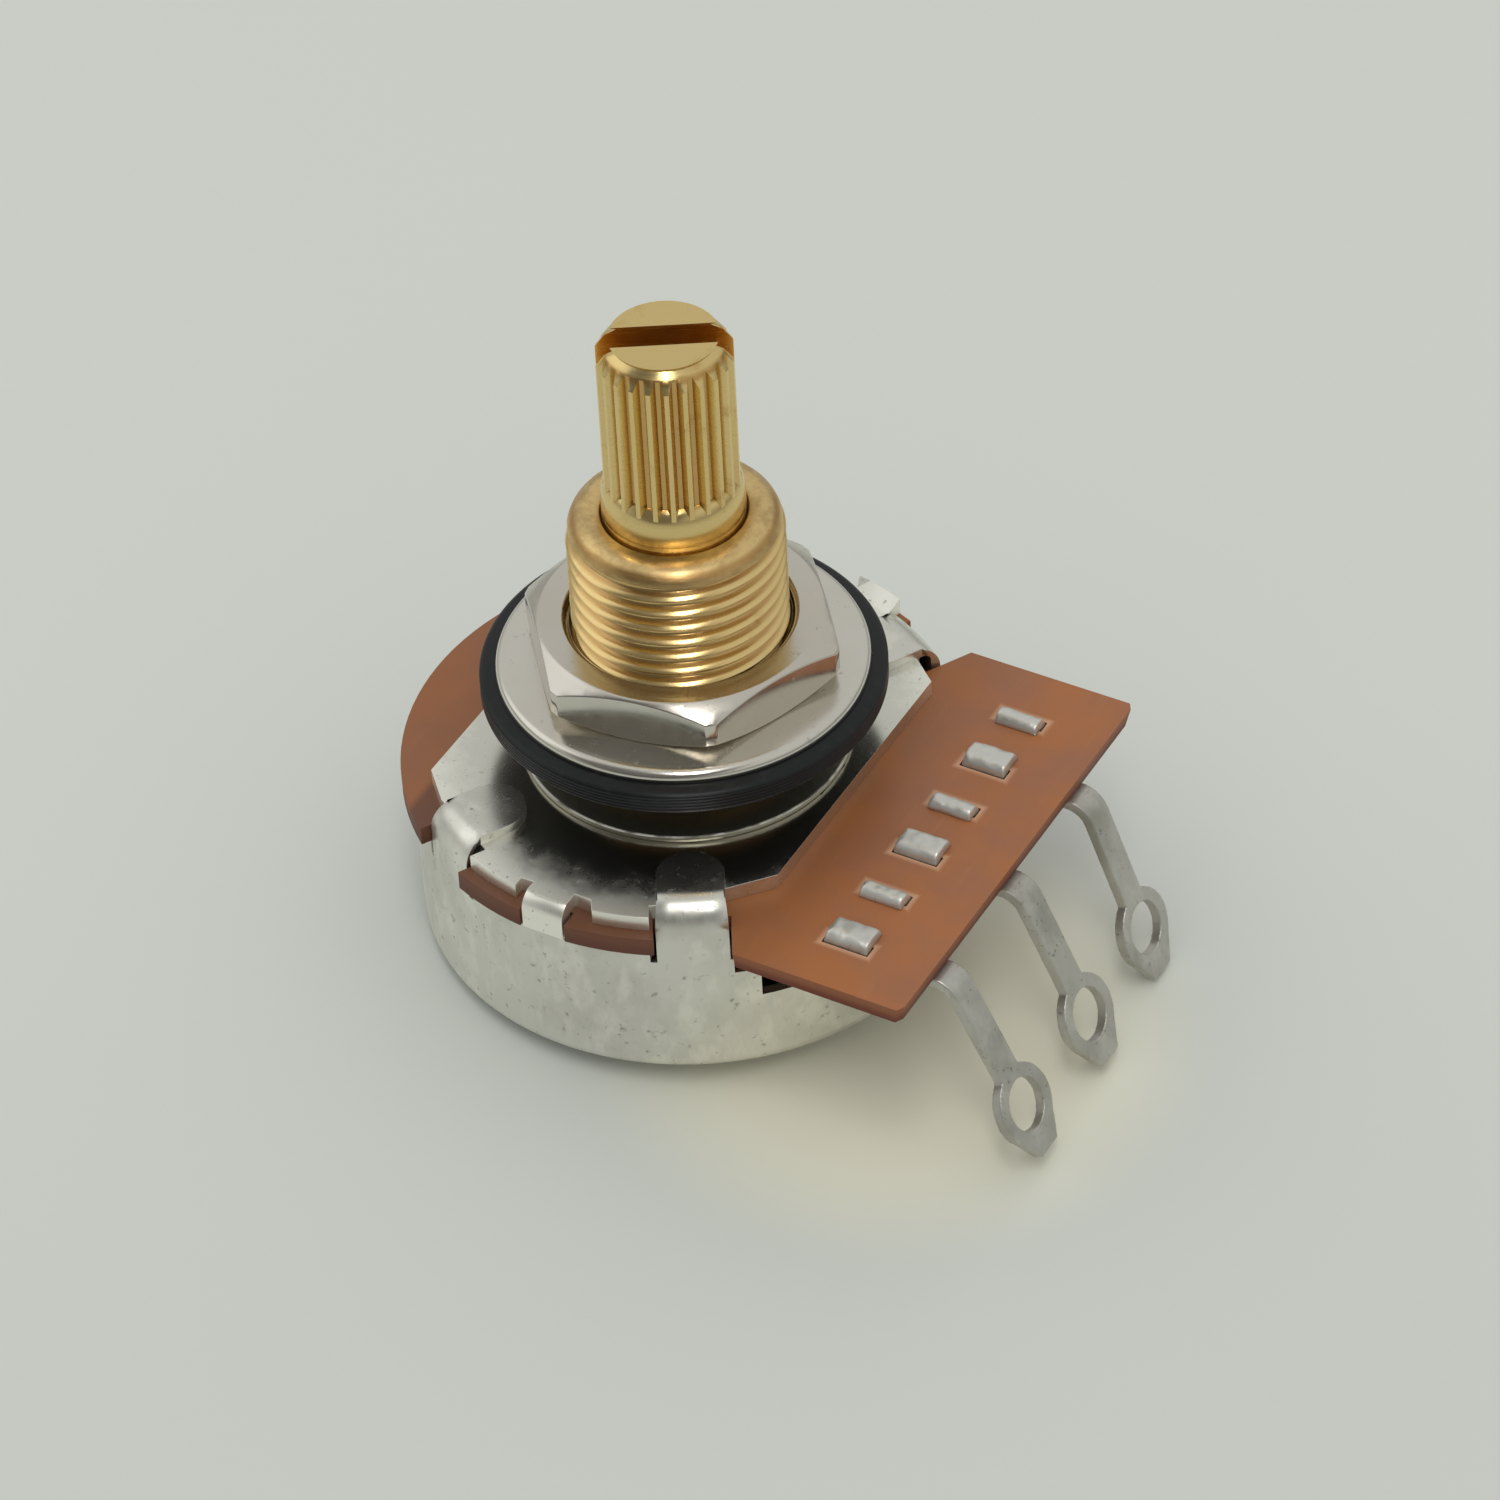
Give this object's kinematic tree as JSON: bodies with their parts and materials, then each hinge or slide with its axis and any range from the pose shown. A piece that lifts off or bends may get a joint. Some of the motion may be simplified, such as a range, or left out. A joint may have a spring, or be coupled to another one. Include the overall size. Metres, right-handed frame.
{
  "type": "rotary potentiometer",
  "caption": "Rotary potentiometer in a round pressed can, with a split splined shaft in a threaded bushing, nut and washers, and solder terminals on a side board.",
  "frame": {"origin": "centre of the can's flat back face, on the shaft's axis", "axes": "+Z along the shaft towards its split end, +X towards the terminals, +Y towards terminal 1"},
  "size_m": [0.034, 0.0254, 0.0328],
  "materials": {
    "tinned_steel": "dull tin plating with fine specks and scratches",
    "nickel_plate": "bright plated sheet, specked near the edges",
    "bushing_brass": "bright turned brass",
    "shaft_brass": "bright brass, dark in the split",
    "inner_steel": "plain spring steel",
    "rotor_phenolic": "moulded phenolic resin",
    "spring_bronze": "spring bronze",
    "rivet_brass": "plain brass",
    "phenolic_board": "phenolic paper board, satin, darker red at its cut edges",
    "carbon_ink": "printed carbon",
    "silver_ink": "printed silver",
    "tinned_terminal": "dull tinned brass with dark specks",
    "nickel_washer": "polished nickel",
    "black_rubber": "black rubber with fine moulding grooves",
    "nickel_nut": "polished nickel plating"
  },
  "bodies": {
    "housing": {"case": "tinned_steel", "front_plate": "nickel_plate", "bushing": "bushing_brass", "thrust_washer": "inner_steel", "wave_washer": "inner_steel", "element_board": "phenolic_board", "resistive_track": "carbon_ink", "collector_ring": "silver_ink", "end_pad_1": "silver_ink", "end_pad_2": "silver_ink", "terminal_1": "tinned_terminal", "terminal_2": "tinned_terminal", "terminal_3": "tinned_terminal", "lock_washer": "nickel_washer"},
    "shaft_group": {"shaft": "shaft_brass", "retaining_ring": "inner_steel", "stop_arm": "inner_steel", "rotor": "rotor_phenolic", "wiper": "spring_bronze", "wiper_rivet_1": "rivet_brass", "wiper_rivet_2": "rivet_brass"},
    "washer_stack": {"rubber_washer": "black_rubber", "dress_washer": "nickel_washer"},
    "nut": {"hex_nut": "nickel_nut"}
  },
  "joints": [
    {"name": "shaft_turn", "type": "hinge", "parent": "housing", "child": "shaft_group", "pos_m": [0, 0, 0], "axis": [0, 0, 1], "range_deg": [-150, 150]},
    {"name": "nut_lift", "type": "slide", "parent": "housing", "child": "washer_stack", "axis": [0, 0, 1], "range_m": [-0.00245, 0.006]},
    {"name": "nut_turn", "type": "hinge", "parent": "washer_stack", "child": "nut", "pos_m": [0, 0, 0], "axis": [0, 0, 1], "range_deg": [-1112, 2722]}
  ],
  "couplings": [
    {"joint": "nut_turn", "follows": "nut_lift", "rad_per_m": 7915.8}
  ]
}
